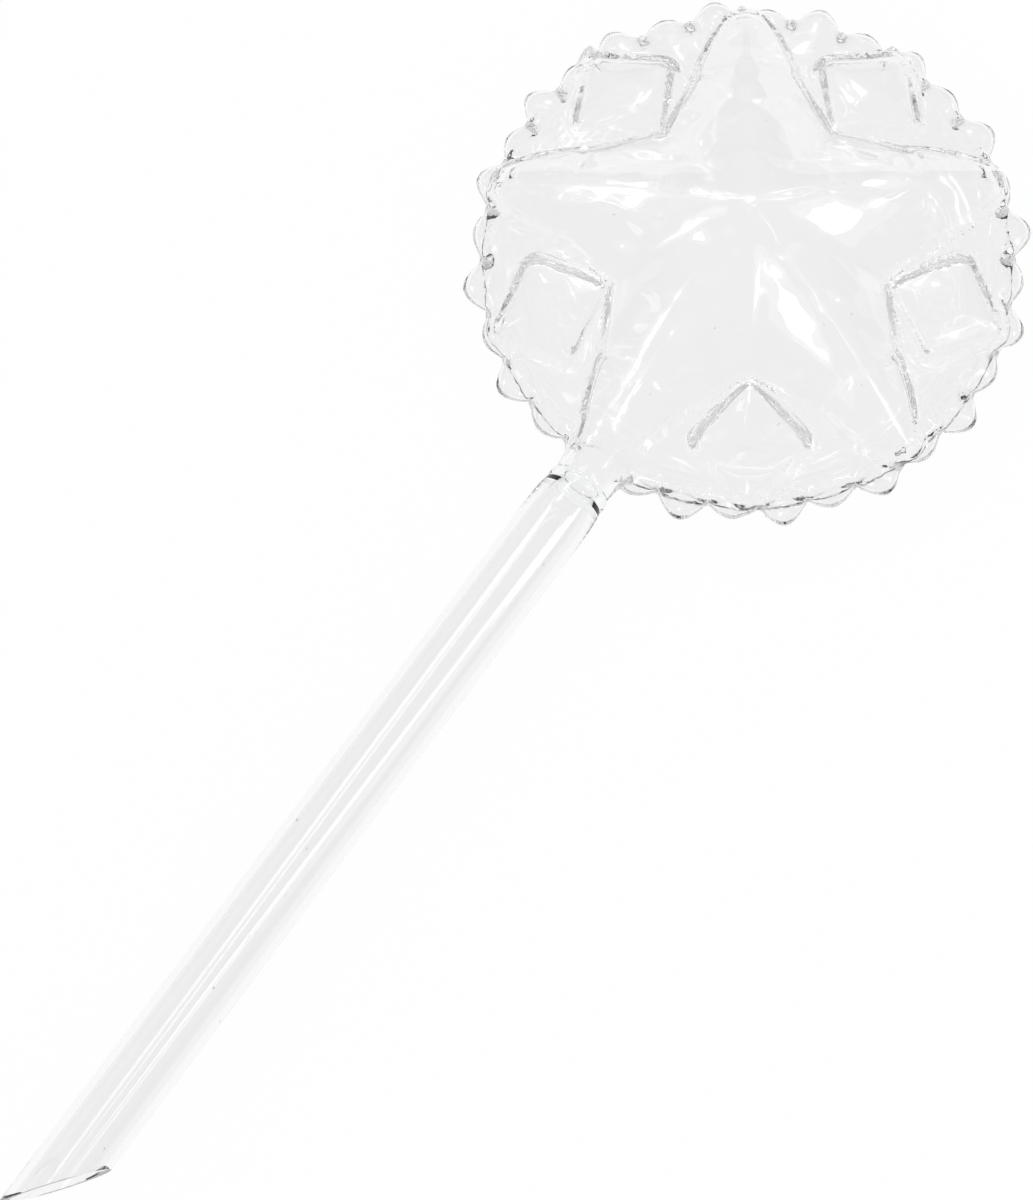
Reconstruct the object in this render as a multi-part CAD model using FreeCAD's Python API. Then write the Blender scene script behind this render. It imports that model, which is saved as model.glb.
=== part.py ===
import FreeCAD, Part
import math
import os

os.makedirs("parts", exist_ok=True)

# A clear glass watering globe that lies on its back. Z is the axis of the round globe,
# Z = 0 is its flat back, and the filling stem runs along -Y in the plane of the rim.

# Glass and cutting
globe_wall = 1.5
overrun = 5.0
full_turn = 360.0
half_turn = 180.0
half_share = 0.5

# Rim with a ring of large and small lobes
rim_radius = 46.3
large_lobe = 3.7
small_lobe = 2.1
lobe_count = 32
lobe_turn = -3.5
lobe_round_share = 0.8
lobe_round_rise_share = 0.55
shoulder_inset = 0.5
shoulder_rise = 2.6

# Domed front and flat back
dome_rise = 10.0
back_depth = 9.0
back_corner = 8.3

# Star on the front
arm_count = 5
star_turn = -1.0
star_peak = 29.0
arm_tip_rise = 4.5
arm_overhang = 1.4
arm_nose_radius = 5.0
arm_nose_turn = 52.0
arm_nose_draft_share = 0.38
arm_side_turn = 53.6
arm_side_bulge = 1.2
arm_wall_slope = 49.5
arm_wall_head = 0.8
notch_depth = 14.5
notch_wall = 12.2
notch_rise = 16.0
star_curve_share = 0.42
star_level_shares = (0.12, 0.4, 0.8, 1.2)

# Diamond pads between the arms
pad_side = 18.4
pad_corner = 3.6
pad_margin = 10.0
pad_tilt = 17.0
pad_sink = 2.4
pad_wall_draft = 1.0
pad_wall_rise = 2.2
pad_bevel = 3.8
pad_bevel_rise = 3.5
pad_crown_side = 4.0
pad_crown_rise = 4.1

# Neck, weld and stem
neck_waist_radius = 5.4
neck_bite = 2.4
neck_length = 3.4
neck_fillet = 14.0
neck_flare_length = 6.5
neck_sink_length = 8.0
weld_length = 2.3
weld_bulge = 0.2
stem_top_radius = 5.6
stem_radius = 6.1
stem_wall = 1.3
stem_length = 164.6
stem_shoulder_length = 4.7
bore_shoulder_length = 5.7
bevel_length = 16.9
bevel_roll = 15.0

# Places that follow from the sizes above
rim_height = back_depth
shoulder_radius = rim_radius - shoulder_inset
lobe_reach = rim_radius + large_lobe
back_flat_radius = rim_radius - back_corner
notch_foot_radius = rim_radius - notch_depth
notch_reach = notch_foot_radius - notch_wall
arm_step = full_turn / arm_count
lobe_step = full_turn / lobe_count
stem_bearing = -full_turn / 4
star_bearing = stem_bearing + star_turn
wall_slope_run = 1 / math.tan(math.radians(arm_wall_slope))
wall_slope_share = 1 / math.sin(math.radians(arm_wall_slope))
roof_slope_share = math.hypot(1, star_peak / rim_radius)
neck_start = lobe_reach - neck_bite
weld_start = neck_start + neck_length
stem_start = weld_start + weld_length
stem_end = stem_start + stem_length
neck_bore_radius = neck_waist_radius - globe_wall
stem_bore_radius = stem_radius - stem_wall


def at_bearing(radius, bearing, height):
    """A point at a distance from the globe's axis, a bearing from +X and a height."""
    angle = math.radians(bearing)
    return FreeCAD.Vector(radius * math.cos(angle), radius * math.sin(angle), height)


def along_stem(distance, radius):
    """A point in the rim plane at a distance along the stem and a radius from its axis."""
    return FreeCAD.Vector(radius, -distance, rim_height)


def line(start, end):
    return Part.makeLine(start, end)


def arc(start, middle, end):
    return Part.Arc(start, middle, end).toShape()


def bulged(start, end, bulge_vector):
    """An arc from start to end whose middle is pushed off the chord."""
    return arc(start, (start + end) * half_share + bulge_vector, end)


def spun(edges, base, axis, angle=full_turn):
    """The solid that a closed outline makes when it turns about an axis."""
    return Part.Face(Part.Wire(edges)).revolve(base, axis, angle)


def tangent_middle(start_place, start_radius, end_place, end_radius):
    """The middle point of the arc that ends parallel to the stem."""
    run = end_place - start_place
    step = end_radius - start_radius
    arc_radius = (run ** 2 + step ** 2) / (2 * abs(step))
    turn = math.asin(run / arc_radius) * half_share
    sink = arc_radius * (1 - math.cos(turn))
    return along_stem(end_place - arc_radius * math.sin(turn), end_radius - math.copysign(sink, step))


def lobed_wire(height, lobe_share, inset):
    """The rim's outline: an arc over each lobe, from valley to valley."""
    edges = []
    for index in range(lobe_count):
        bearing = stem_bearing + lobe_turn + index * lobe_step
        lobe = large_lobe if index % 2 == 0 else small_lobe
        valley = rim_radius - inset
        edges.append(arc(
            at_bearing(valley, bearing - lobe_step / 2, height),
            at_bearing(valley + lobe * lobe_share, bearing, height),
            at_bearing(valley, bearing + lobe_step / 2, height)))
    return Part.Wire(edges)


def round_wire(radius, height):
    """A circle in as many arcs as the rim has lobes, for a loft from the rim."""
    edges = []
    for index in range(lobe_count):
        bearing = stem_bearing + lobe_turn + index * lobe_step
        edges.append(arc(
            at_bearing(radius, bearing - lobe_step / 2, height),
            at_bearing(radius, bearing, height),
            at_bearing(radius, bearing + lobe_step / 2, height)))
    return Part.Wire(edges)


def lobed_band(side, inset):
    """The lobes from the rim plane to the shoulder, on the front (1) or the back (-1)."""
    rise = shoulder_rise - inset
    sections = [
        lobed_wire(rim_height, 1, inset),
        lobed_wire(rim_height + side * rise * lobe_round_rise_share, lobe_round_share, inset),
        round_wire(shoulder_radius - inset, rim_height + side * rise)]
    return Part.makeLoft(sections, True, True)


def front_dome(inset):
    """The low dome between the arms, down to the rim plane."""
    edge_radius = shoulder_radius - inset
    edge_height = rim_height + shoulder_rise - inset
    top_height = rim_height + dome_rise - inset
    sagitta = top_height - edge_height
    arc_radius = (edge_radius ** 2 + sagitta ** 2) / (2 * sagitta)
    middle_radius = edge_radius * half_share
    drop = arc_radius - math.sqrt(arc_radius ** 2 - middle_radius ** 2)
    centre = FreeCAD.Vector(0, 0, rim_height)
    foot = FreeCAD.Vector(edge_radius, 0, rim_height)
    edge = FreeCAD.Vector(edge_radius, 0, edge_height)
    middle = FreeCAD.Vector(middle_radius, 0, top_height - drop)
    top = FreeCAD.Vector(0, 0, top_height)
    outline = [line(centre, foot), line(foot, edge), arc(edge, middle, top), line(top, centre)]
    return spun(outline, centre, FreeCAD.Vector(0, 0, 1))


def back_plate(inset):
    """The flat back with its rounded edge, up to the rim plane."""
    edge_radius = shoulder_radius - inset
    flat_radius = back_flat_radius - inset * half_share
    edge_height = rim_height - shoulder_rise + inset
    run = edge_radius - flat_radius
    rise = edge_height - inset
    corner_radius = (run ** 2 + rise ** 2) / (2 * rise)
    turn = math.asin(run / corner_radius) * half_share
    centre = FreeCAD.Vector(0, 0, rim_height)
    base = FreeCAD.Vector(0, 0, inset)
    flat_edge = FreeCAD.Vector(flat_radius, 0, inset)
    middle = flat_edge + FreeCAD.Vector(math.sin(turn), 0, 1 - math.cos(turn)) * corner_radius
    edge = FreeCAD.Vector(edge_radius, 0, edge_height)
    foot = FreeCAD.Vector(edge_radius, 0, rim_height)
    outline = [line(centre, base), line(base, flat_edge), arc(flat_edge, middle, edge),
               line(edge, foot), line(foot, centre)]
    return spun(outline, centre, FreeCAD.Vector(0, 0, 1))


def star_wire(height, inset):
    """The outline of the five arms at one height: round noses, bulged sides, sharp notches."""
    draft = (height - rim_height - shoulder_rise) * wall_slope_run + inset * wall_slope_share
    nose = arm_nose_radius - draft * arm_nose_draft_share
    nose_centre = rim_radius + arm_overhang - draft - nose
    side_turn = math.radians(arm_nose_turn)
    notch_turn = math.radians(arm_step / 2 + full_turn / 4 - arm_side_turn)
    notch = notch_foot_radius - draft / math.sin(notch_turn)
    edges = []
    for index in range(arm_count):
        bearing = star_bearing + index * arm_step
        shoulders = []
        for side in (-1, 1):
            along = nose_centre + nose * math.cos(side_turn)
            across = side * nose * math.sin(side_turn)
            shoulders.append(at_bearing(along, bearing, height) + at_bearing(across, bearing + full_turn / 4, 0))
        tip = at_bearing(nose_centre + nose, bearing, height)
        first = at_bearing(notch, bearing - arm_step / 2, height)
        last = at_bearing(notch, bearing + arm_step / 2, height)
        outward = at_bearing(arm_side_bulge, bearing + full_turn / 4, 0)
        edges.append(bulged(first, shoulders[0], outward * -1))
        edges.append(arc(shoulders[0], tip, shoulders[1]))
        edges.append(bulged(shoulders[1], last, outward))
    return Part.Wire(edges)


def roof_wire(drop, inset):
    """The roof's ten-cornered section at a drop below the peak: ridges and valleys in turn."""
    ridge_share = drop / (star_peak - arm_tip_rise)
    valley_share = drop / (star_peak - notch_rise)
    ridge = (rim_radius + arm_overhang) * ridge_share * (1 + star_curve_share * (1 - ridge_share))
    valley = notch_reach * valley_share * (1 + star_curve_share * (1 - valley_share) * half_share)
    height = rim_height + star_peak - drop - inset * roof_slope_share
    corners = []
    for index in range(arm_count):
        bearing = star_bearing + index * arm_step
        corners.append(at_bearing(ridge, bearing, height))
        corners.append(at_bearing(valley, bearing + arm_step / 2, height))
    return Part.makePolygon(corners + corners[:1])


def star(inset):
    """The five-armed star: drafted walls under a roof of ridges and valleys."""
    floor = rim_height + inset
    wall_top = rim_height + notch_rise + arm_wall_head - inset * roof_slope_share
    walls = Part.makeLoft([star_wire(floor, inset), star_wire(wall_top, inset)], True, True)
    head_room = Part.makeCylinder(lobe_reach, star_peak, FreeCAD.Vector(0, 0, wall_top))
    levels = [(star_peak - arm_tip_rise) * share for share in star_level_shares]
    sections = [roof_wire(drop, inset) for drop in reversed(levels)]
    peak = FreeCAD.Vector(0, 0, rim_height + star_peak - inset * roof_slope_share)
    roof = Part.makeLoft(sections + [Part.Vertex(peak)], True, False)
    return roof.common(walls).fuse(roof.common(head_room))


def rounded_square(side, corner, height):
    """A square with round corners, standing on one corner's diagonal along X."""
    edges = []
    reach = side * half_share
    for index in range(4):
        bearing = half_turn / 4 + index * full_turn / 4
        outward = at_bearing(1, bearing, 0)
        across = at_bearing(1, bearing + full_turn / 4, 0)
        lift = FreeCAD.Vector(0, 0, height)
        flat = reach - corner
        start = outward * reach - across * flat + lift
        end = outward * reach + across * flat + lift
        next_start = outward * flat + across * reach + lift
        bend = (outward + across) * (flat + corner * math.cos(math.radians(half_turn / 4))) + lift
        edges.append(line(start, end))
        edges.append(arc(end, bend, next_start))
    return Part.Wire(edges)


def pad(index, inset):
    """A bevelled diamond pad with a low crown, standing square on the dome."""
    place = rim_radius - pad_margin
    bearing = star_bearing + arm_step * (index + half_share)
    side = pad_side - 2 * inset
    corner = pad_corner - inset * half_share
    sections = [
        rounded_square(side, corner, -pad_sink),
        rounded_square(side, corner, -inset * half_share),
        rounded_square(side - 2 * pad_wall_draft, corner, pad_wall_rise - inset),
        rounded_square(side - 2 * pad_bevel, corner * half_share, pad_bevel_rise - inset),
        rounded_square(pad_crown_side, corner * half_share, pad_crown_rise - inset)]
    solid = Part.makeLoft(sections, True, True)
    sagitta = dome_rise - shoulder_rise
    arc_radius = (shoulder_radius ** 2 + sagitta ** 2) / (2 * sagitta)
    drop = arc_radius - math.sqrt(arc_radius ** 2 - place ** 2)
    seat = at_bearing(place, bearing, rim_height + dome_rise - drop)
    lean = FreeCAD.Rotation(FreeCAD.Vector(0, 1, 0), pad_tilt)
    turn = FreeCAD.Rotation(FreeCAD.Vector(0, 0, 1), bearing)
    solid.Placement = FreeCAD.Placement(seat, turn.multiply(lean))
    above_rim = Part.makeCylinder(lobe_reach, star_peak, FreeCAD.Vector(0, 0, rim_height + inset))
    return solid.common(above_rim)


def neck_radius(place, inset):
    """The neck's radius at a place along the stem, on its hollow fillet."""
    fillet = neck_fillet + inset
    return neck_waist_radius - inset + fillet - math.sqrt(fillet ** 2 - (weld_start - place) ** 2)


def neck_arc(start, end, inset):
    """The stretch of the neck's fillet between two places along the stem."""
    places = (start, (start + end) * half_share, end)
    return arc(*[along_stem(place, neck_radius(place, inset)) for place in places])


def neck_root(side, inset, end):
    """Half of the neck's root, sunk into the front (1) or the back (-1) of the globe."""
    flare = weld_start - neck_flare_length
    sink = flare - neck_sink_length
    flare_radius = neck_radius(flare, inset)
    outline = [
        line(along_stem(sink, 0), along_stem(sink, flare_radius)),
        line(along_stem(sink, flare_radius), along_stem(flare, flare_radius)),
        neck_arc(flare, end, inset),
        line(along_stem(end, neck_radius(end, inset)), along_stem(end, 0)),
        line(along_stem(end, 0), along_stem(sink, 0))]
    return spun(outline, along_stem(0, 0), FreeCAD.Vector(0, -side, 0), half_turn)


def front_form(inset, neck_end):
    """The filled front of the globe, shrunk by an inset."""
    form = front_dome(inset).fuse([lobed_band(1, inset), star(inset), neck_root(1, inset, neck_end)]
                                  + [pad(index, inset) for index in range(arm_count)])
    return form


def back_form(inset, neck_end):
    """The filled back of the globe, shrunk by an inset."""
    return back_plate(inset).fuse([lobed_band(-1, inset), neck_root(-1, inset, neck_end)])


def globe_front():
    return front_form(0, neck_start).cut(front_form(globe_wall, weld_start))


def globe_back():
    return back_form(0, neck_start).cut(back_form(globe_wall, weld_start))


def neck():
    """The ring of neck between the globe's lobes and the weld."""
    outline = [
        neck_arc(neck_start, weld_start, 0),
        line(along_stem(weld_start, neck_waist_radius), along_stem(weld_start, neck_bore_radius)),
        neck_arc(weld_start, neck_start, globe_wall),
        line(along_stem(neck_start, neck_radius(neck_start, globe_wall)),
             along_stem(neck_start, neck_radius(neck_start, 0)))]
    return spun(outline, along_stem(0, 0), FreeCAD.Vector(0, 1, 0))


def weld_ring():
    """The fused bead that joins the neck and the stem."""
    outer_start = along_stem(weld_start, neck_waist_radius)
    outer_end = along_stem(stem_start, stem_top_radius)
    inner_start = along_stem(weld_start, neck_bore_radius)
    inner_end = along_stem(stem_start, neck_bore_radius)
    outline = [bulged(outer_start, outer_end, FreeCAD.Vector(weld_bulge, 0, 0)), line(outer_end, inner_end),
               line(inner_end, inner_start), line(inner_start, outer_start)]
    return spun(outline, along_stem(0, 0), FreeCAD.Vector(0, 1, 0))


def bevel_cutter():
    """The wedge beyond the slanted cut, whose long side is at -X and leans a little forward."""
    lean = math.radians(bevel_roll)
    short_side = FreeCAD.Vector(math.cos(lean), 0, -math.sin(lean))
    sideways = FreeCAD.Vector(math.sin(lean), 0, math.cos(lean)) * (stem_radius + overrun)
    slope = FreeCAD.Vector(0, bevel_length / (2 * stem_radius), 0)
    middle = along_stem(stem_end - bevel_length * half_share, 0)
    reach = stem_radius + overrun
    long_point = middle - (short_side + slope) * reach
    short_point = middle + (short_side + slope) * reach
    far_point = FreeCAD.Vector(short_point.x, long_point.y, short_point.z)
    corners = [long_point, short_point, far_point, long_point]
    face = Part.Face(Part.makePolygon([corner - sideways for corner in corners]))
    return face.extrude(sideways * 2)


def stem_tube():
    """The drawn tube: a rounded shoulder, a long straight bore and a slanted tip."""
    outer_place = stem_start + stem_shoulder_length
    bore_place = stem_start + bore_shoulder_length
    blank_end = stem_end + overrun
    outer_top = along_stem(stem_start, stem_top_radius)
    outer_shoulder = along_stem(outer_place, stem_radius)
    outer_end = along_stem(blank_end, stem_radius)
    bore_end = along_stem(blank_end, stem_bore_radius)
    bore_shoulder = along_stem(bore_place, stem_bore_radius)
    bore_top = along_stem(stem_start, neck_bore_radius)
    outer_middle = tangent_middle(stem_start, stem_top_radius, outer_place, stem_radius)
    bore_middle = tangent_middle(stem_start, neck_bore_radius, bore_place, stem_bore_radius)
    outline = [arc(outer_top, outer_middle, outer_shoulder), line(outer_shoulder, outer_end),
               line(outer_end, bore_end), line(bore_end, bore_shoulder),
               arc(bore_shoulder, bore_middle, bore_top), line(bore_top, outer_top)]
    blank = spun(outline, along_stem(0, 0), FreeCAD.Vector(0, 1, 0))
    return blank.cut(bevel_cutter())


nodes = {"globe_front": globe_front, "globe_back": globe_back, "neck": neck,
         "weld_ring": weld_ring, "stem_tube": stem_tube}
for name, make in nodes.items():
    shape = make()
    print(name, "valid", shape.isValid(), "solids", len(shape.Solids), "volume", round(shape.Volume, 1))
    shape.exportStep("parts/" + name + ".step")
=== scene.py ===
"""A clear glass watering globe: a blown hollow head fused to a drawn stem."""
import logging
import math
from dataclasses import dataclass, field
from enum import Enum
from typing import Any

import bmesh
import bpy
import numpy as np
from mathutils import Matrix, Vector


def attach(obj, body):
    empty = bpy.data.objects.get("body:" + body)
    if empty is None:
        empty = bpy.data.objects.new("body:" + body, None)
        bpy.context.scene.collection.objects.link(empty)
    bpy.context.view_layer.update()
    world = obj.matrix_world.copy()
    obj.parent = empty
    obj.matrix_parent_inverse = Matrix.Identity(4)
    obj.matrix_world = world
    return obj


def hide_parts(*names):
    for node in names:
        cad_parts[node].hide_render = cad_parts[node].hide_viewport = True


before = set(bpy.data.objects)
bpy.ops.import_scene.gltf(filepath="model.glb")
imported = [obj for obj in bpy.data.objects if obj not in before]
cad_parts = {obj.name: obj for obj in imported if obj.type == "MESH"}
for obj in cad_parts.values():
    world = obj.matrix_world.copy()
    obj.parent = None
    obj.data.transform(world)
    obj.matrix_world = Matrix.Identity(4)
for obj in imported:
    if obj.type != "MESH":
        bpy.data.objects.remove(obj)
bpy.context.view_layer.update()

MM = 0.001
RIM_HEIGHT = 9.0
STEM_BEARING = -90.0
ARM_STEP = 72.0
# The lobes of the rim aren't quite even: each row is a bearing, a spread and a turn, in degrees.
RIM_DRIFTS = ((288.0, 22.0, 2.9), (195.0, 25.0, -1.3), (50.0, 22.0, -1.2))
DRIFT_START = 126.0
# The slow waves of the blown glass: each row is a direction in degrees and a length in millimetres.
WAVES = ((12, 9.1), (75, 7.3), (131, 11.7), (163, 6.1), (48, 13.9), (101, 5.2))
WAVE_OFFSET = 1.9
log = logging.getLogger("watering_globe")


class Side(Enum):
    """The side of the rim plane that a sheet of the head lies on."""

    FRONT = 1
    BACK = -1


class Slot(Enum):
    """The record's material slots."""

    GLOBE = "globe_glass"
    WELD = "weld_glass"
    STEM = "stem_glass"


class Layout(Enum):
    """Where a crowd of bubbles lies."""

    TUBE_WALL = "in the wall of the stem"
    FLAT_BACK = "in the flat back of the head"


class Term:
    """A node's output, which can be used in sums."""

    def __init__(self, maker: "NodeMaker", socket: bpy.types.NodeSocket) -> None:
        """Wraps a socket, with the maker that adds nodes beside it."""
        self.maker = maker
        self.socket = socket

    def joined(self, operation: str, *others: Any) -> "Term":
        """Runs one Math operation on this term and others."""
        node = self.maker.add("ShaderNodeMath", {"operation": operation}, dict(enumerate((self, *others))))
        return Term(self.maker, node.outputs[0])

    def behind(self, operation: str, first: Any) -> "Term":
        """Runs one Math operation on another value and this term, in that order."""
        node = self.maker.add("ShaderNodeMath", {"operation": operation}, {0: first, 1: self})
        return Term(self.maker, node.outputs[0])

    def __add__(self, other: Any) -> "Term":
        """This term and another, added."""
        return self.joined("ADD", other)

    def __radd__(self, other: Any) -> "Term":
        """Another value and this term, added."""
        return self.behind("ADD", other)

    def __sub__(self, other: Any) -> "Term":
        """This term less another."""
        return self.joined("SUBTRACT", other)

    def __rsub__(self, other: Any) -> "Term":
        """Another value less this term."""
        return self.behind("SUBTRACT", other)

    def __mul__(self, other: Any) -> "Term":
        """This term times another."""
        return self.joined("MULTIPLY", other)

    def __rmul__(self, other: Any) -> "Term":
        """Another value times this term."""
        return self.behind("MULTIPLY", other)

    def __truediv__(self, other: Any) -> "Term":
        """This term over another."""
        return self.joined("DIVIDE", other)

    def __rtruediv__(self, other: Any) -> "Term":
        """Another value over this term."""
        return self.behind("DIVIDE", other)

    def __pow__(self, other: Any) -> "Term":
        """This term to a power."""
        return self.joined("POWER", other)

    def __mod__(self, other: Any) -> "Term":
        """What is left of this term after whole steps of another."""
        return self.joined("FLOORED_MODULO", other)

    def __neg__(self) -> "Term":
        """This term with its sign turned."""
        return self.joined("MULTIPLY", -1.0)


class NodeMaker:
    """Adds and joins the nodes of one shader or geometry tree."""

    def __init__(self, tree: bpy.types.NodeTree) -> None:
        """Starts work on a tree."""
        self.tree = tree

    def add(self, kind: str, settings: dict[str, Any] | None = None,
            sockets: dict[str | int, Any] | None = None) -> bpy.types.Node:
        """Adds a node.

        Args:
            kind: the node's type.
            settings: its properties by name.
            sockets: values, terms or sockets for its inputs, by name or index.

        Returns:
            The new node.
        """
        node = self.tree.nodes.new(kind)
        for name, value in (settings or {}).items():
            setattr(node, name, value)
        for name, value in (sockets or {}).items():
            if isinstance(value, Term):
                value = value.socket
            if isinstance(value, bpy.types.NodeSocket):
                self.tree.links.new(value, node.inputs[name])
            else:
                node.inputs[name].default_value = value
        return node

    def term(self, kind: str, settings: dict[str, Any] | None = None,
             sockets: dict[str | int, Any] | None = None, output: str | int = 0) -> Term:
        """Adds a node and returns one of its outputs as a term."""
        return Term(self, self.add(kind, settings, sockets).outputs[output])

    def point(self, x: Term, y: Term, z: Term) -> Term:
        """Joins three lengths in millimetres to a point in metres."""
        return self.term("ShaderNodeCombineXYZ", None, {"X": x * MM, "Y": y * MM, "Z": z * MM})


class Recipe(NodeMaker):
    """A Geometry Nodes tree with named inputs, which makes one piece from nothing."""

    def __init__(self, name: str, sizes: dict[str, float], counts: dict[str, int]) -> None:
        """Starts the tree and gives it its inputs.

        Args:
            name: the tree's name.
            sizes: the numbers that the piece needs.
            counts: the whole numbers that it needs.
        """
        super().__init__(bpy.data.node_groups.new(name, "GeometryNodeTree"))
        self.tree.is_modifier = True
        self.values: dict[str, float | int] = {**sizes, **counts}
        self.identifiers: dict[str, str] = {}
        for label in self.values:
            kind = "NodeSocketInt" if label in counts else "NodeSocketFloat"
            entry = self.tree.interface.new_socket(name=label, in_out="INPUT", socket_type=kind)
            self.identifiers[label] = entry.identifier
        self.tree.interface.new_socket(name="Geometry", in_out="OUTPUT", socket_type="NodeSocketGeometry")
        self.source = self.add("NodeGroupInput")

    def size(self, label: str) -> Term:
        """One of the tree's inputs."""
        return Term(self, self.source.outputs[label])

    def make(self, name: str, geometry: Term, material: bpy.types.Material) -> bpy.types.Object:
        """Ends the tree, runs it and keeps its result as a plain mesh.

        Args:
            name: the piece's name.
            geometry: the geometry to end with.
            material: the finish of the whole piece.

        Returns:
            The new object, linked to the scene.
        """
        real = self.term("GeometryNodeRealizeInstances", None, {"Geometry": geometry})
        painted = self.term("GeometryNodeSetMaterial", None, {"Geometry": real, "Material": material})
        self.add("NodeGroupOutput", None, {"Geometry": painted})
        piece = bpy.data.objects.new(name, bpy.data.meshes.new(name))
        bpy.context.scene.collection.objects.link(piece)
        modifier = piece.modifiers.new("recipe", "NODES")
        modifier.node_group = self.tree
        for label, value in self.values.items():
            modifier[self.identifiers[label]] = value
        made = piece.evaluated_get(bpy.context.evaluated_depsgraph_get())
        mesh = bpy.data.meshes.new_from_object(made)
        piece.modifiers.clear()
        piece.data = mesh
        settle(mesh, name)
        return piece


def settle(mesh: bpy.types.Mesh, name: str, merge: float = 0.002, sharp: float = 28.0) -> None:
    """Closes, turns outwards and smooths a mesh, and reports on it.

    Args:
        mesh: the mesh, in metres.
        name: the piece's name, for the report.
        merge: corners nearer than this, in millimetres, become one.
        sharp: edges that turn further than this, in degrees, stay crisp.
    """
    work = bmesh.new()
    work.from_mesh(mesh)
    bmesh.ops.remove_doubles(work, verts=work.verts, dist=merge * MM)
    bmesh.ops.recalc_face_normals(work, faces=work.faces)
    for face in work.faces:
        face.smooth = True
    for edge in work.edges:
        edge.smooth = not edge.is_manifold or edge.calc_face_angle(0) < math.radians(sharp)
    open_edges = sum(not edge.is_manifold for edge in work.edges)
    triangles = sum(len(face.verts) - 2 for face in work.faces)
    volume = work.calc_volume(signed=True) / MM ** 3
    log.info("%s: %d triangles, %d open edges, %.0f mm3", name, triangles, open_edges, volume)
    work.to_mesh(mesh)
    work.free()


@dataclass(frozen=True)
class GlassFinish:
    """The look of one piece of glass.

    The tints are its clearest and its deepest colour. Lengths are in millimetres.
    """

    name: str
    clear: tuple[float, float, float, float]
    deep: tuple[float, float, float, float]
    index: float = 1.5
    wave_length: float = 7.0
    wave_height: float = 0.02
    ripple_length: float = 1.6
    ripple_share: float = 0.12
    stretch: float = 1.0
    haze: float = 0.012
    smudge_length: float = 9.0

    def noise(self, maker: NodeMaker, place: Term, length: float, detail: float) -> Term:
        """A cloudy field whose waves have about the given length."""
        return maker.term("ShaderNodeTexNoise", None, {
            "Vector": place, "Scale": 1 / (length * MM), "Detail": detail})

    def material(self) -> bpy.types.Material:
        """Makes the glass: tint, haze and the slow waves of hand-worked glass.

        Returns:
            The new material.
        """
        material = bpy.data.materials.new(self.name)
        material.use_nodes = True
        maker = NodeMaker(material.node_tree)
        shader = material.node_tree.nodes["Principled BSDF"]
        place = maker.term("ShaderNodeTexCoord", None, None, "Object")
        drawn = maker.term("ShaderNodeVectorMath", {"operation": "MULTIPLY"},
                           {0: place, 1: (1.0, 1 / self.stretch, 1.0)})
        waves = self.noise(maker, drawn, self.wave_length, 1.0)
        ripples = self.noise(maker, drawn, self.ripple_length, 2.0)
        smudges = self.noise(maker, place, self.smudge_length, 3.0)
        bump = maker.term("ShaderNodeBump", None, {
            "Height": waves + ripples * self.ripple_share, "Strength": 1.0,
            "Distance": self.wave_height * MM})
        tint = maker.term("ShaderNodeMix", {"data_type": "RGBA"},
                          {0: waves, 6: self.clear, 7: self.deep}, 2)
        links = material.node_tree.links
        links.new(tint.socket, shader.inputs["Base Color"])
        links.new((smudges ** 3.0 * self.haze).socket, shader.inputs["Roughness"])
        links.new(bump.socket, shader.inputs["Normal"])
        shader.inputs["IOR"].default_value = self.index
        shader.inputs["Transmission Weight"].default_value = 1.0
        return material


HEAD_FINISH = GlassFinish("blown_glass", (0.966, 0.967, 0.967, 1), (0.944, 0.946, 0.946, 1),
                          wave_height=0.012)
WELD_FINISH = GlassFinish("fused_glass", (0.97, 0.978, 0.977, 1), (0.93, 0.945, 0.943, 1),
                          wave_length=3.0, wave_height=0.03)
STEM_FINISH = GlassFinish("drawn_glass", (0.955, 0.956, 0.956, 1), (0.932, 0.934, 0.934, 1),
                          wave_height=0.008, stretch=12.0)
BUBBLE_FINISH = GlassFinish("trapped_air", (1, 1, 1, 1), (0.99, 0.99, 0.99, 1), index=1 / 1.5,
                            wave_length=0.3, wave_height=0.001, haze=0.0)


def smooth_max(first: np.ndarray, second: np.ndarray, width: float) -> np.ndarray:
    """The larger of two fields, with the crease between them rounded over a width."""
    share = np.clip(0.5 + 0.5 * (first - second) / width, 0, 1)
    return second + (first - second) * share + width * share * (1 - share)


def smooth_min(first: np.ndarray, second: np.ndarray, width: float) -> np.ndarray:
    """The smaller of two fields, with the crease between them rounded over a width."""
    return -smooth_max(-first, -second, width)


def folded(bearing: np.ndarray, first: float, step: float) -> np.ndarray:
    """The angle from the nearest of a ring of evenly spaced bearings, in degrees."""
    return (bearing - first + step / 2) % step - step / 2


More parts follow.
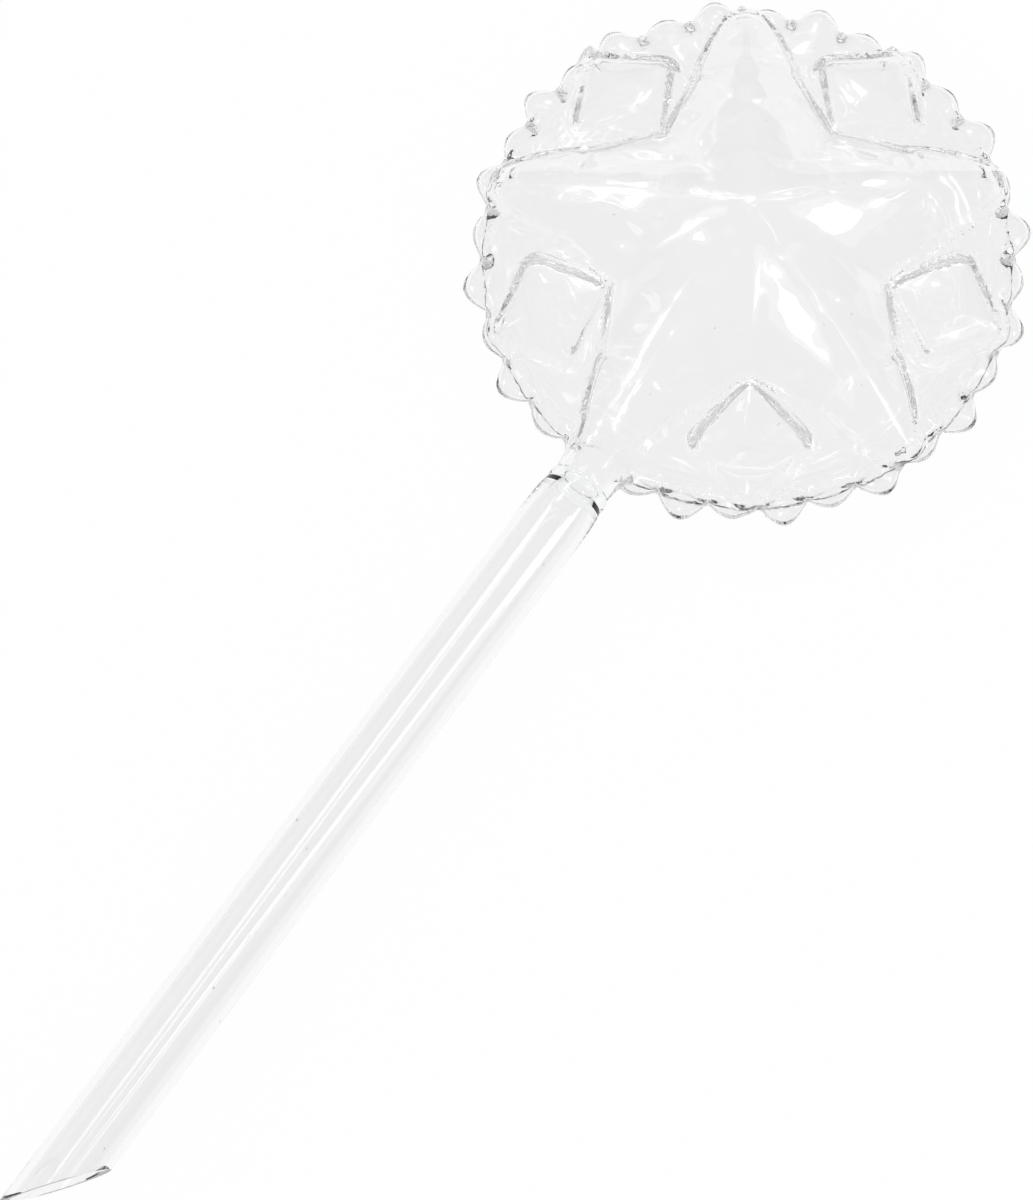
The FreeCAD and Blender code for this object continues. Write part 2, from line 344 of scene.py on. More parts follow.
@dataclass
class HeadForm:
    """One skin of the moulded head, as heights in millimetres from the rim plane.

    The outer skin has no inset. The inner skin is the same form shrunk by the wall.
    """

    inset: float = 0.0
    crease: float = 0.8
    head_turn: float = -1.0
    dome_rise: float = 10.0
    dome_radius: float = 145.4
    shoulder: float = 45.3
    shoulder_fall: float = 1.0
    back_depth: float = 9.0
    back_flat: float = 36.0
    back_foot: float = 2.6
    valley: float = 46.3
    lobe_root: float = 43.5
    lobe_wall_share: float = 0.55
    large_lobe: float = 3.7
    small_lobe: float = 2.1
    lobe_count: int = 32
    lobe_turn: float = -2.5
    valley_rise: float = 2.2
    tip_rise: float = 3.0
    peak: float = 28.7
    arm_reach: float = 47.7
    ridge_drop: float = 24.5
    ridge_bulge: float = 10.0
    roof_slope: float = 0.52
    roof_crown: float = 0.012
    ridge_round: float = 1.2
    tip_curve: float = 4.1
    foot_flare: float = 0.26
    flare_start: float = 32.0
    shoulder_foot: float = 3.17
    shoulder_share: float = 0.627
    shoulder_slope: float = 0.97
    wall_foot: float = 2.6
    wall_slope: float = 3.0
    pad_place: float = 36.3
    pad_half: float = 9.2
    pad_corner: float = 3.6
    pad_tilt: float = 17.0
    pad_wall_rise: float = 2.2
    pad_wall_run: float = 1.0
    pad_wall_slope: float = 2.2
    pad_bevel_slope: float = 0.46
    pad_bevel_run: float = 3.8
    pad_crown_rise: float = 3.5
    pad_crown_slope: float = 0.11
    pad_sink_start: float = 3.0
    pad_sink_length: float = 9.0
    pad_sink_share: float = 0.55
    neck_waist: float = 5.4
    neck_end: float = 51.0
    neck_fillet: float = 14.0
    neck_flare: float = 6.5
    neck_reach: float = 30.0
    dome_blend: float = 1.6
    back_blend: float = 2.5
    neck_blend: float = 1.5
    back_drop: float = 3.0
    lobe_swell_power: float = 1.15
    roof_inset_share: float = 1.2
    unevenness: float = 0.0
    ripple_end: float = 44.0
    ripple_fade: float = 8.0

    def dome(self, radius: np.ndarray) -> np.ndarray:
        """The low dome between the arms, which falls away past the shoulder.

        Args:
            radius: each point's distance from the head's axis, in millimetres.

        Returns:
            The dome's height over the rim plane.
        """
        cap = self.dome_radius - np.sqrt(self.dome_radius ** 2 - radius ** 2)
        past = np.maximum(radius - self.shoulder + self.inset, 0)
        return self.dome_rise - self.inset - cap - (past / self.shoulder_fall) ** 2

    def back_plate(self, radius: np.ndarray) -> np.ndarray:
        """The depth of the flat back and its rounded edge.

        Args:
            radius: each point's distance from the head's axis, in millimetres.

        Returns:
            The depth below the rim plane.
        """
        flat = self.back_flat - self.inset * 0.5
        share = np.maximum(radius - flat, 0) / (self.shoulder - self.inset - flat)
        fall = (self.back_depth - self.back_foot) * share ** 2
        beyond = np.maximum(share - 1, 0) * (self.shoulder - flat)
        return self.back_depth - self.inset - fall - self.back_drop * beyond

    def lobe_phase(self, bearing: np.ndarray) -> tuple[np.ndarray, np.ndarray]:
        """The place across each lobe, from -1 to 1, and whether the lobe is a large one.

        Args:
            bearing: each point's direction from +X, in degrees.

        Returns:
            The places, and a mask of the large lobes.
        """
        seen = DRIFT_START - bearing + self.head_turn
        drift = np.zeros_like(bearing)
        for centre, spread, turn in RIM_DRIFTS:
            gap = (seen - centre + 180.0) % 360.0 - 180.0
            drift += turn * np.exp(-(gap / spread) ** 2)
        step = 360.0 / self.lobe_count
        turned = bearing + drift - STEM_BEARING - self.lobe_turn - self.head_turn
        index = np.floor(turned / step + 0.5)
        return (turned / step - index) * 2, index % 2 == 0

    def lobes(self, radius: np.ndarray, bearing: np.ndarray) -> np.ndarray:
        """The half thickness of the puffed lobes round the rim.

        Args:
            radius: each point's distance from the head's axis, in millimetres.
            bearing: each point's direction from +X, in degrees.

        Returns:
            The half thickness, under zero past the lobes.
        """
        phase, large = self.lobe_phase(bearing)
        swell = np.cos(np.pi / 2 * phase)
        lobe = np.where(large, self.large_lobe, self.small_lobe)
        thin = self.inset * self.lobe_wall_share
        reach = self.valley + lobe * np.maximum(swell, 0) ** self.lobe_swell_power - thin
        root = self.lobe_root - self.inset
        rise = self.valley_rise + (self.tip_rise - self.valley_rise) * swell - thin
        share = np.maximum((radius - root) / (reach - root), 0)
        inside = rise * np.sqrt(np.maximum(1 - share ** 2, 0))
        return np.where(share < 1, inside, 2 * (reach - radius))

    def arm(self, along: np.ndarray, across: np.ndarray) -> np.ndarray:
        """The height of one arm: its ridged roof, held in by its steep walls.

        Args:
            along: distances from the head's axis towards the arm's tip, in millimetres.
            across: distances from the arm's ridge, in millimetres.

        Returns:
            The arm's height over the rim plane.
        """
        share = along / self.arm_reach
        ridge = self.peak - self.ridge_drop * share + self.ridge_bulge * share * (1 - share)
        spread = np.sqrt(across ** 2 + self.ridge_round ** 2) - self.ridge_round
        roof = ridge - self.roof_slope * spread - self.roof_crown * spread ** 2
        roof = roof - self.inset * self.roof_inset_share
        room = 2 * self.tip_curve * (self.arm_reach - along)
        flare = self.foot_flare * np.maximum(self.flare_start - along, 0)
        foot = np.sqrt(np.maximum(room, 1e-6))
        slope = self.tip_curve / foot + self.foot_flare * (along < self.flare_start)
        within = (foot + flare - across) / np.hypot(1, slope)
        beyond = (room - across ** 2) / (2 * np.hypot(self.tip_curve, across))
        inside = np.where(room > across ** 2, within, beyond) - self.inset
        steep = self.wall_foot + self.wall_slope * inside
        level = self.dome(np.hypot(along, across))
        gentle = self.shoulder_foot + self.shoulder_share * level + self.shoulder_slope * inside
        wall = smooth_min(steep, gentle, self.crease)
        return smooth_min(roof, wall, self.crease)

    def star(self, radius: np.ndarray, bearing: np.ndarray) -> np.ndarray:
        """The five arms, with soft valleys between them.

        Args:
            radius: each point's distance from the head's axis, in millimetres.
            bearing: each point's direction from +X, in degrees.

        Returns:
            The star's height over the rim plane.
        """
        near = np.radians(np.abs(folded(bearing, STEM_BEARING + self.head_turn, ARM_STEP)))
        far = math.radians(ARM_STEP) - near
        first = self.arm(radius * np.cos(near), radius * np.sin(near))
        second = self.arm(radius * np.cos(far), radius * np.sin(far))
        return smooth_max(first, second, self.crease * 1.5)

    def pads(self, radius: np.ndarray, bearing: np.ndarray) -> np.ndarray:
        """The bevelled diamond pads, which lean outwards with the dome.

        Args:
            radius: each point's distance from the head's axis, in millimetres.
            bearing: each point's direction from +X, in degrees.

        Returns:
            The pads' height over the rim plane.
        """
        between = STEM_BEARING + ARM_STEP / 2
        turn = np.radians(folded(bearing, between + self.head_turn, ARM_STEP))
        outward = radius * np.cos(turn) - self.pad_place
        sideways = radius * np.sin(turn)
        flat = self.pad_half - self.pad_corner
        first = np.abs(outward + sideways) / math.sqrt(2) - flat
        second = np.abs(outward - sideways) / math.sqrt(2) - flat
        round_part = np.hypot(np.maximum(first, 0), np.maximum(second, 0))
        inside = self.pad_corner - round_part - np.minimum(np.maximum(first, second), 0)
        inside = inside - self.inset * 0.9
        steep = self.pad_wall_slope * inside
        bevel = self.pad_wall_rise + self.pad_bevel_slope * (inside - self.pad_wall_run)
        crown = self.pad_crown_rise + self.pad_crown_slope * (inside - self.pad_bevel_run)
        rise = smooth_min(smooth_min(steep, bevel, self.crease * 0.7), crown, self.crease * 0.6)
        seat = self.dome_rise - self.dome_radius + math.sqrt(self.dome_radius ** 2 - self.pad_place ** 2)
        inner = np.clip(-(outward + self.pad_sink_start) / self.pad_sink_length, 0, 1)
        rise = rise * (1 - self.pad_sink_share * inner ** 2 * (3 - 2 * inner))
        return seat - math.tan(math.radians(self.pad_tilt)) * outward + rise - self.inset

    def neck(self, across: np.ndarray, along: np.ndarray) -> np.ndarray:
        """The upper half of the neck's root, on its hollow fillet.

        Args:
            across: distances from the stem's axis, in millimetres.
            along: distances from the head's axis towards the stem, in millimetres.

        Returns:
            The height over the stem's axis, under zero outside the neck.
        """
        fillet = self.neck_fillet + self.inset
        run = np.clip(self.neck_end - along, 0, self.neck_flare)
        waist = self.neck_waist - self.inset + fillet - np.sqrt(fillet ** 2 - run ** 2)
        inside = np.sqrt(np.maximum(waist ** 2 - across ** 2, 0))
        height = np.where(np.abs(across) < waist, inside, 2 * (waist - np.abs(across)))
        return np.where(along < self.neck_reach, -20.0, height)

    def height(self, across: np.ndarray, forward: np.ndarray, side: Side) -> np.ndarray:
        """The height of the skin over the rim plane, measured away from it on both sides.

        Args:
            across: x of each point in millimetres.
            forward: y of each point in millimetres.
            side: the front or the back.

        Returns:
            The distance from the rim plane, under zero past the outline.
        """
        radius = np.hypot(across, forward)
        bearing = np.degrees(np.arctan2(forward, across))
        field_height = self.lobes(radius, bearing)
        if side is Side.FRONT:
            field_height = smooth_max(field_height, self.dome(radius), self.dome_blend)
            field_height = smooth_max(field_height, self.pads(radius, bearing), self.crease)
            field_height = smooth_max(field_height, self.star(radius, bearing), self.crease)
        else:
            field_height = smooth_max(field_height, self.back_plate(radius), self.back_blend)
        field_height = field_height + self.unevenness * self.ripple(across, forward, side)
        return smooth_max(field_height, self.neck(across, -forward), self.neck_blend)

    def ripple(self, across: np.ndarray, forward: np.ndarray, side: Side) -> np.ndarray:
        """The slow waves of blown glass, within about one up and down.

        Args:
            across: x of each point in millimetres.
            forward: y of each point in millimetres.
            side: the front or the back.

        Returns:
            The waves, which fade out towards the rim.
        """
        total = np.zeros_like(across)
        for index, (turn, length) in enumerate(WAVES):
            run = across * math.cos(math.radians(turn)) + forward * math.sin(math.radians(turn))
            total += np.sin(2 * np.pi * run / length + index * WAVE_OFFSET * side.value)
        fade = np.clip((self.ripple_end - np.hypot(across, forward)) / self.ripple_fade, 0, 1)
        return total / 3 * fade

    def outline(self, bearing: np.ndarray) -> np.ndarray:
        """The outermost radius of the front at each bearing, short of the neck's end.

        Args:
            bearing: directions in degrees from +X.

        Returns:
            The radius in millimetres where the front meets the rim plane.
        """
        turn = np.radians(bearing)[:, None]
        steps = np.linspace(40.0, 52.5, 251)[None, :]
        across, forward = steps * np.cos(turn), steps * np.sin(turn)
        above = (self.height(across, forward, Side.FRONT) > 0) & (forward > -self.neck_end)
        last = above.shape[1] - 1 - np.argmax(above[:, ::-1], axis=1)
        low = steps[0, last]
        high = low + 0.05
        for _ in range(20):
            middle = (low + high) / 2
            x, y = middle * np.cos(turn[:, 0]), middle * np.sin(turn[:, 0])
            inside = (self.height(x, y, Side.FRONT) > 0) & (y > -self.neck_end)
            low, high = np.where(inside, middle, low), np.where(inside, high, middle)
        return low


@dataclass
class MeshDraft:
    """The corners and faces of a piece while it is being made, in millimetres."""

    corners: list[tuple[float, float, float]] = field(default_factory=list)
    faces: list[tuple[int, ...]] = field(default_factory=list)

    def row(self, x: np.ndarray, y: np.ndarray, z: np.ndarray) -> list[int]:
        """Adds a row of corners and returns their indices.

        Args:
            x: the corners' x in millimetres.
            y: their y.
            z: their z.

        Returns:
            The corners' indices.
        """
        start = len(self.corners)
        self.corners.extend(zip(x.tolist(), y.tolist(), z.tolist()))
        return list(range(start, start + len(x)))

    def band(self, first: list[int], second: list[int], closed: bool = True) -> None:
        """Joins two rows of equal length with quads.

        Args:
            first: the indices of one row.
            second: those of the other.
            closed: whether the rows run all the way round.
        """
        count = len(first) if closed else len(first) - 1
        for index in range(count):
            following = (index + 1) % len(first)
            self.faces.append((first[index], first[following], second[following], second[index]))

    def halving_band(self, fine: list[int], coarse: list[int]) -> None:
        """Joins a row to one with half as many corners.

        Args:
            fine: the indices of the fuller row.
            coarse: those of the other.
        """
        count = len(coarse)
        for index in range(count):
            following = (index + 1) % count
            start, middle, end = fine[2 * index], fine[2 * index + 1], fine[(2 * index + 2) % len(fine)]
            self.faces.append((start, middle, coarse[index]))
            self.faces.append((middle, coarse[following], coarse[index]))
            self.faces.append((middle, end, coarse[following]))

    def ring_band(self, inner: list[int], outer: list[int]) -> None:
        """Joins two rings of an eight-sided grid, whose outer one has eight corners more.

        Args:
            inner: the indices of the inner ring.
            outer: those of the outer ring.
        """
        side = len(inner) // 8
        for octant in range(8):
            for step in range(side):
                a = inner[(octant * side + step) % len(inner)]
                b = inner[(octant * side + step + 1) % len(inner)]
                c = outer[(octant * (side + 1) + step + 1) % len(outer)]
                d = outer[(octant * (side + 1) + step) % len(outer)]
                self.faces.append((a, d, c))
                self.faces.append((a, c, b))
            corner = inner[((octant + 1) * side) % len(inner)]
            last = outer[(octant * (side + 1) + side) % len(outer)]
            after = outer[((octant + 1) * (side + 1)) % len(outer)]
            self.faces.append((corner, last, after))

    def to_object(self, name: str, material: bpy.types.Material) -> bpy.types.Object:
        """Makes a closed object in metres, linked to the scene.

        Args:
            name: the piece's name.
            material: its finish.

        Returns:
            The new object.
        """
        mesh = bpy.data.meshes.new(name)
        mesh.from_pydata([[value * MM for value in corner] for corner in self.corners], [], self.faces)
        mesh.materials.append(material)
        settle(mesh, name)
        piece = bpy.data.objects.new(name, mesh)
        bpy.context.scene.collection.objects.link(piece)
        return piece


@dataclass
class Skin:
    """The mesh of one skin of the head, front and back.

    The grid has eight sides inside the lobes' root, and even columns over the lobes.
    """

    form: HeadForm
    rings: int
    rows: int
    corner_rows: int = 8
    neck_columns: int = 12

    def columns(self) -> np.ndarray:
        """The bearings of the rim's columns, with even columns round the neck's end.

        Returns:
            The bearings in degrees, from the stem's round.
        """
        waist = self.form.neck_waist - self.form.inset
        quarter = np.arange(self.neck_columns + 1) / self.neck_columns * math.pi / 2
        near = np.degrees(np.arctan(waist * np.sin(quarter) / self.form.neck_end))
        rest = np.linspace(near[-1], 360.0 - near[-1], 8 * self.rings - 2 * self.neck_columns + 1)
        return np.concatenate([near, rest[1:], 360.0 - near[::-1][1:-1]]) + STEM_BEARING

    def points(self, draft: MeshDraft, radius: np.ndarray, bearing: np.ndarray, side: Side) -> list[int]:
        """Adds a row of corners on the skin and returns their indices."""
        x, y = radius * np.cos(np.radians(bearing)), radius * np.sin(np.radians(bearing))
        return draft.row(x, y, RIM_HEIGHT + side.value * self.form.height(x, y, side))

    def disc(self, draft: MeshDraft, side: Side, radius: float, rings: int) -> list[int]:
        """Fills a circle with the eight-sided grid.

        Args:
            draft: the mesh under way.
            side: the front or the back.
            radius: the circle's radius in millimetres.
            rings: the rings of the grid.

        Returns:
            The indices of the circle's corners.
        """
        even = np.linspace(0, 1, 8 * self.rings + 1)
        warped = np.append(self.columns(), self.columns()[0] + 360.0)
        row = self.points(draft, np.zeros(1), np.zeros(1), side)
        for ring in range(1, rings + 1):
            bearing = np.interp(np.arange(8 * ring) / (8 * ring), even, warped)
            following = self.points(draft, np.full(8 * ring, radius * ring / rings), bearing, side)
            if ring == 1:
                draft.faces.extend((row[0], following[index], following[(index + 1) % 8])
                                   for index in range(8))
            else:
                draft.ring_band(row, following)
            row = following
        return row

    def sheet(self, draft: MeshDraft, side: Side) -> list[int]:
        """Adds the front or the back of the skin.

        Args:
            draft: the mesh under way.
            side: the front or the back.

        Returns:
            The indices of the outermost row, from the stem's bearing round.
        """
        form, columns = self.form, self.columns()
        root = form.lobe_root - form.inset
        if side is Side.FRONT:
            row = self.disc(draft, side, root, self.rings)
        else:
            flat = form.back_flat - form.inset * 0.5
            coarse = self.disc(draft, side, flat * 0.98, self.rings // 2)
            row = self.points(draft, np.full(len(columns), flat), columns, side)
            draft.halving_band(row, coarse)
            for step in range(1, self.corner_rows + 1):
                radius = flat + (root - flat) * step / self.corner_rows
                following = self.points(draft, np.full(len(columns), radius), columns, side)
                draft.band(row, following)
                row = following
        near_neck = np.zeros(len(columns), dtype=bool)
        near_neck[:self.neck_columns + 1] = True
        near_neck[-self.neck_columns:] = True
        outline = form.outline(columns)
        outline[near_neck] = form.neck_end / np.cos(np.radians(columns[near_neck] - STEM_BEARING))
        for step in range(1, self.rows):
            radius = root + (outline - root) * math.sin(math.pi / 2 * step / self.rows)
            following = self.points(draft, radius, columns, side)
            draft.band(row, following)
            row = following
        x, y = outline * np.cos(np.radians(columns)), outline * np.sin(np.radians(columns))
        waist = form.neck_waist - form.inset
        rise = np.where(near_neck, np.sqrt(np.maximum(waist ** 2 - x ** 2, 0)), 0.0)
        last = draft.row(x, y, RIM_HEIGHT + side.value * rise)
        draft.band(row, last)
        return last


@dataclass
class Head:
    """The blown head: an outer and an inner skin, joined at the neck's end."""

    wall: float = 1.8
    outer_rings: int = 86
    inner_rings: int = 60
    outer_rows: int = 12
    inner_rows: int = 8
    inner_crease: float = 1.1
    outer_wave: float = 0.03
    inner_wave: float = 0.12

    def build(self) -> bpy.types.Object:
        """Makes the head as one closed piece of glass.

        Returns:
            The new object.
        """
        outer_form = HeadForm(unevenness=self.outer_wave)
        inner_form = HeadForm(inset=self.wall, crease=self.inner_crease, unevenness=self.inner_wave)
        outer = Skin(outer_form, self.outer_rings, self.outer_rows)
        inner = Skin(inner_form, self.inner_rings, self.inner_rows)
        draft = MeshDraft()
        span = outer.neck_columns
        for side in Side:
            outside, inside = outer.sheet(draft, side), inner.sheet(draft, side)
            draft.band(outside[-span:] + outside[:span + 1],
                       inside[-span:] + inside[:span + 1], closed=False)
        return draft.to_object("glass_head", HEAD_FINISH.material())


@dataclass
class Tube:
    """A glass tube about the stem's axis, with a shoulder at its start and a slanted cut.

    Lengths are in millimetres, and the roll of the cut is in degrees.
    """

    name: str
    finish: GlassFinish
    start: float
    length: float
    start_radius: float
    end_radius: float
    bore_start: float
    bore_end: float
    shoulder: float
    bore_shoulder: float
    bulge: float = 0.0
    spacing: float = 1.0
    rings: int = 12
    columns: int = 96
    cut_slope: float = 0.0
    cut_place: float = 1000.0
    cut_roll: float = 15.0
    chip_height: float = 0.0
    chip_length: float = 2.2

    def build(self) -> bpy.types.Object:
        """Bends a grid round the axis with Geometry Nodes.

        Returns:
            The new object.
        """
        sizes = {"Start": self.start, "Length": self.length, "Start Radius": self.start_radius,
                 "End Radius": self.end_radius, "Bore Start": self.bore_start, "Bore End": self.bore_end,
                 "Shoulder": self.shoulder, "Bore Shoulder": self.bore_shoulder, "Bulge": self.bulge,
                 "Ring Spacing": self.spacing, "Cut Slope": self.cut_slope, "Cut Place": self.cut_place,
                 "Cut Roll": math.radians(self.cut_roll), "Chip Height": self.chip_height}
        tree = Recipe(self.name, sizes, {"Rings": self.rings, "Columns": self.columns})
        rings, start, length = tree.size("Rings"), tree.size("Start"), tree.size("Length")
        grid = tree.term("GeometryNodeMeshGrid", None, {
            "Size X": 1.0, "Size Y": 1.0,
            "Vertices X": rings * 2 + 1, "Vertices Y": tree.size("Columns") + 1})
        corner = tree.add("ShaderNodeSeparateXYZ", None, {0: tree.term("GeometryNodeInputPosition")})
        step = ((Term(tree, corner.outputs["X"]) + 0.5) * rings * 2).joined("ROUND")
        turn = (Term(tree, corner.outputs["Y"]) + 0.5) * math.tau
        inner = step.joined("GREATER_THAN", rings - 0.5) * step.joined("LESS_THAN", rings * 2 - 0.5)
        forward = step % (rings * 2) / (rings - 1)
        backward = (rings * 2 - 1 - step) / (rings - 1)
        share = (forward + (backward - forward) * inner).joined("MAXIMUM", 0.0)
        run = length * share ** tree.size("Ring Spacing")
        swell = tree.size("Bulge") * 4 * share * (1 - share)
        outside = self.eased(tree, run, "Shoulder", "Start Radius", "End Radius") + swell
        inside = self.eased(tree, run, "Bore Shoulder", "Bore Start", "Bore End") - swell
        radius = outside + (inside - outside) * inner
        x, z = radius * turn.joined("COSINE"), radius * turn.joined("SINE")
        roll = tree.size("Cut Roll")
        lean = x * roll.joined("COSINE") - z * roll.joined("SINE")
        chips = tree.term("ShaderNodeTexNoise", None, {
            "Vector": tree.point(x, x * 0, z), "Scale": 1 / (self.chip_length * MM), "Detail": 3.0})
        end = tree.size("Cut Place") - tree.size("Cut Slope") * lean - chips * tree.size("Chip Height")
        y = -(start + run).joined("MINIMUM", end)
        bent = tree.term("GeometryNodeSetPosition", None, {
            "Geometry": grid, "Position": tree.point(x, y, z + RIM_HEIGHT)})
        return tree.make(self.name, bent, self.finish.material())

    def eased(self, tree: Recipe, run: Term, shoulder: str, start: str, end: str) -> Term:
        """A radius that eases from its start to its end over a shoulder."""
        rest = 1 - (run / tree.size(shoulder)).joined("MINIMUM", 1.0)
        return tree.size(end) + (tree.size(start) - tree.size(end)) * rest * rest


@dataclass
class Bubbles:
    """Tiny pockets of air caught in the glass, in millimetres."""

    name: str
    layout: Layout
    count: int
    size: float
    stretch: float
    low: float
    high: float
    depth: float
    seed: int
    least_share: float = 0.4

    def build(self, material: bpy.types.Material) -> bpy.types.Object:
        """Scatters the bubbles with Geometry Nodes.

        Args:
            material: the finish of a pocket of air inside glass.

        Returns:
            All the bubbles as one piece.
        """
        sizes = {"Size": self.size, "Stretch": self.stretch, "Low": self.low, "High": self.high,
                 "Depth": self.depth}
        tree = Recipe(self.name, sizes, {"Count": self.count, "Seed": self.seed})
        turn = self.chance(tree, 0) * math.tau
        spread = self.chance(tree, 1)
        low, high, depth = tree.size("Low"), tree.size("High"), tree.size("Depth")
        if self.layout is Layout.TUBE_WALL:
            place = low + (high - low) * spread
            where = tree.point(depth * turn.joined("COSINE"), -place,
                               depth * turn.joined("SINE") + RIM_HEIGHT)
        else:
            reach = low + (high - low) * spread ** 0.5
            where = tree.point(reach * turn.joined("COSINE"), reach * turn.joined("SINE"), depth)
        points = tree.term("GeometryNodePoints", None, {"Count": tree.size("Count"), "Position": where})
        ball = tree.term("GeometryNodeMeshIcoSphere", None, {
            "Radius": tree.size("Size") * MM, "Subdivisions": 3})
        scale = self.least_share + self.chance(tree, 2) ** 2.0 * (1 - self.least_share)
        scales = tree.term("ShaderNodeCombineXYZ", None, {
            "X": scale, "Y": scale * tree.size("Stretch"), "Z": scale})
        crowd = tree.term("GeometryNodeInstanceOnPoints", None, {
            "Points": points, "Instance": ball, "Scale": scales})
        return tree.make(self.name, crowd, material)

    def chance(self, tree: Recipe, offset: int) -> Term:
        """A random share for each bubble, fixed by the seed."""
        return tree.term("FunctionNodeRandomValue", {"data_type": "FLOAT"},
                         {2: 0.0, 3: 1.0, 8: tree.size("Seed") + offset}, 1)


@dataclass
class Floor:
    """The pale floor, white to the camera and in the glass, with the object's shadow."""

    size: float = 8.0
    depth: float = 0.0002
    glow_share: float = 0.98
    shade: float = 0.98

    def build(self) -> bpy.types.Object:
        """Makes the floor.

        Returns:
            The floor.
        """
        bpy.ops.mesh.primitive_plane_add(size=self.size, location=(0, 0, -self.depth))
        floor = bpy.context.object
        floor.name = "floor"
        material = bpy.data.materials.new("pale_floor")
        material.use_nodes = True
        material.node_tree.nodes.clear()
        maker = NodeMaker(material.node_tree)
        path = maker.add("ShaderNodeLightPath")
        seen = Term(maker, path.outputs["Is Camera Ray"])
        for kind in ("Is Glossy Ray", "Is Transmission Ray"):
            seen = seen.joined("MAXIMUM", Term(maker, path.outputs[kind]))
        paint = maker.term("ShaderNodeBsdfDiffuse", None, {"Color": (self.shade, self.shade, self.shade, 1)})
        glow = maker.term("ShaderNodeEmission", None, {"Strength": 1.0})
        mixed = maker.term("ShaderNodeMixShader", None, {0: seen * self.glow_share, 1: paint, 2: glow})
        maker.add("ShaderNodeOutputMaterial", None, {"Surface": mixed})
        floor.data.materials.append(material)
        return floor


@dataclass(frozen=True)
class SoftLight:
    """A soft box that faces a point of the globe, in metres and watts."""

    name: str
    place: tuple[float, float, float]
    size: tuple[float, float]
    watts: float
    aim: tuple[float, float, float] = (0.0, 0.0, 0.009)

    def build(self) -> bpy.types.Object:
        """Hangs the light in its place.

        Returns:
            The light.
        """
        data = bpy.data.lights.new(self.name, "AREA")
        data.shape = "RECTANGLE"
        data.size, data.size_y = self.size
        data.energy = self.watts
        light = bpy.data.objects.new(self.name, data)
        light.location = self.place
        light.rotation_mode = "QUATERNION"
        light.rotation_quaternion = (Vector(self.aim) - Vector(self.place)).to_track_quat("-Z", "Y")
        bpy.context.scene.collection.objects.link(light)
        return light


STEM_MIDDLE = (0.0, -0.135, 0.009)
LIGHTS = (
    SoftLight("left_light", (-0.75, -0.45, 0.5), (0.14, 0.14), 0.34),
    SoftLight("right_light", (0.8, 0.3, 0.5), (0.14, 0.14), 0.34),
    SoftLight("back_light", (-0.35, 0.51, 0.75), (0.13, 0.16), 0.32),
    SoftLight("front_light", (0.2, -0.72, 0.64), (0.14, 0.14), 0.34),
    SoftLight("left_halo", (-0.78, -0.47, 0.52), (0.3, 0.3), 0.22),
    SoftLight("right_halo", (0.83, 0.31, 0.52), (0.3, 0.3), 0.22),
    SoftLight("back_halo", (-0.37, 0.54, 0.79), (0.3, 0.34), 0.24),
    SoftLight("front_halo", (0.21, -0.75, 0.67), (0.3, 0.3), 0.22),
    SoftLight("left_strip", (-0.356, 0.173, 0.892), (0.08, 0.45), 0.25, STEM_MIDDLE),
    SoftLight("right_strip", (0.56, 0.173, 0.779), (0.06, 0.45), 0.19, STEM_MIDDLE),
)


@dataclass
class Camera:
    """The camera at the photograph's angle.

    Lengths are in millimetres and angles in degrees.
    """

    azimuth: float = 34.8
    elevation: float = 68.0
    distance: float = 3000.0
    view_height: float = 209.8
    leftwards: float = 40.4
    downwards: float = 59.0

    def build(self) -> bpy.types.Object:
        """Places the camera and makes it the scene's own.

        Returns:
            The camera.
        """
        azimuth, elevation = math.radians(self.azimuth), math.radians(self.elevation)
        flat = math.cos(elevation)
        back = Vector((math.sin(azimuth) * flat, -math.cos(azimuth) * flat, math.sin(elevation)))
        right = Vector((math.cos(azimuth), math.sin(azimuth), 0))
        target = Vector((0, 0, RIM_HEIGHT)) - right * self.leftwards - back.cross(right) * self.downwards
        data = bpy.data.cameras.new("camera")
        data.sensor_width = 36
        data.lens = data.sensor_width * self.distance / self.view_height
        data.clip_end = 20
        camera = bpy.data.objects.new("camera", data)
        camera.location = (target + back * self.distance) * MM
        camera.rotation_mode = "QUATERNION"
        camera.rotation_quaternion = (-back).to_track_quat("-Z", "Y")
        bpy.context.scene.collection.objects.link(camera)
        bpy.context.scene.camera = camera
        return camera


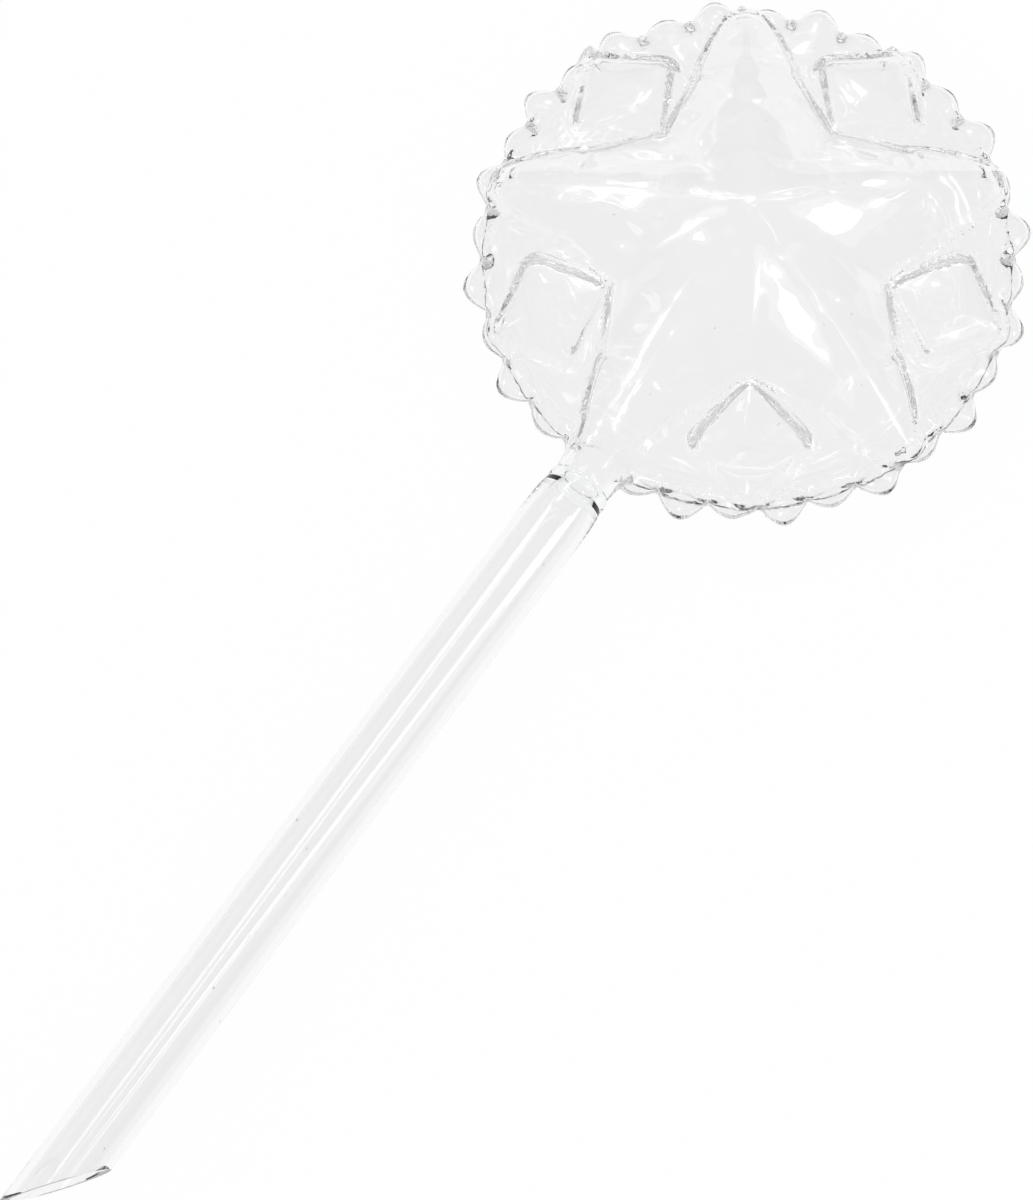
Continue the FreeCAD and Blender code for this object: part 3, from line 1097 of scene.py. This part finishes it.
def light_the_room(horizon: float = 0.5, zenith: float = 0.68, climb: float = 1.8) -> None:
    """Gives the room an even pale light, darker towards the horizon, and hangs the soft boxes.

    Args:
        horizon: the light's strength at the height of the globe.
        zenith: its strength overhead.
        climb: how soon the light grows from one to the other.
    """
    world = bpy.data.worlds.new("room")
    bpy.context.scene.world = world
    world.use_nodes = True
    maker = NodeMaker(world.node_tree)
    place = maker.term("ShaderNodeTexCoord", None, None, "Generated")
    height = maker.term("ShaderNodeSeparateXYZ", None, {0: place}, "Z")
    share = (height * climb).joined("MAXIMUM", 0.0).joined("MINIMUM", 1.0)
    strength = horizon + share * (zenith - horizon)
    world.node_tree.links.new(strength.socket, world.node_tree.nodes["Background"].inputs["Strength"])
    world.node_tree.nodes["Background"].inputs["Color"].default_value = (1, 1, 1, 1)
    for light in LIGHTS:
        light.build()


def let_light_through(bounces: int = 32) -> None:
    """Lets light cross all the sheets of glass before a path ends.

    Args:
        bounces: how many sheets a path may cross, or turn back from.
    """
    cycles = bpy.context.scene.cycles
    cycles.max_bounces = bounces
    cycles.glossy_bounces = bounces
    cycles.transmission_bounces = bounces


def main() -> None:
    """Builds the globe, its light and its camera in order."""
    logging.basicConfig(level=logging.INFO, format="%(message)s")
    bpy.context.scene.view_settings.view_transform = "Standard"
    let_light_through()
    head = Head()
    weld = Tube("weld_ring_glass", WELD_FINISH, start=51.02, length=2.26, start_radius=5.4, end_radius=5.6,
                bore_start=3.9, bore_end=3.9, shoulder=2.26, bore_shoulder=2.26, bulge=0.18)
    stem = Tube("stem_glass", STEM_FINISH, start=53.3, length=165.0, start_radius=5.6, end_radius=6.1,
                bore_start=3.9, bore_end=4.8, shoulder=4.7, bore_shoulder=5.7, spacing=2.2, rings=24,
                cut_slope=16.9 / 12.2, cut_place=209.45, chip_height=0.15)
    air = BUBBLE_FINISH.material()
    stem_air = Bubbles("stem_bubbles", Layout.TUBE_WALL, 14, 0.15, 2.6, 60.0, 200.0, 5.45, 4)
    back_air = Bubbles("back_bubbles", Layout.FLAT_BACK, 16, 0.28, 1.0, 4.0, 33.0, 0.75, 9)
    parts = (
        (head.build(), ("globe_front", "globe_back", "neck"), Slot.GLOBE),
        (weld.build(), ("weld_ring",), Slot.WELD),
        (stem.build(), ("stem_tube",), Slot.STEM),
        (stem_air.build(air), (), Slot.STEM),
        (back_air.build(air), (), Slot.GLOBE),
    )
    for piece, nodes, slot in parts:
        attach(piece, "root")
        if nodes:
            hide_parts(*nodes)
        log.info("%s is in place", piece.name)
    Floor().build()
    light_the_room()
    Camera().build()


if __name__ == "__main__":
    main()
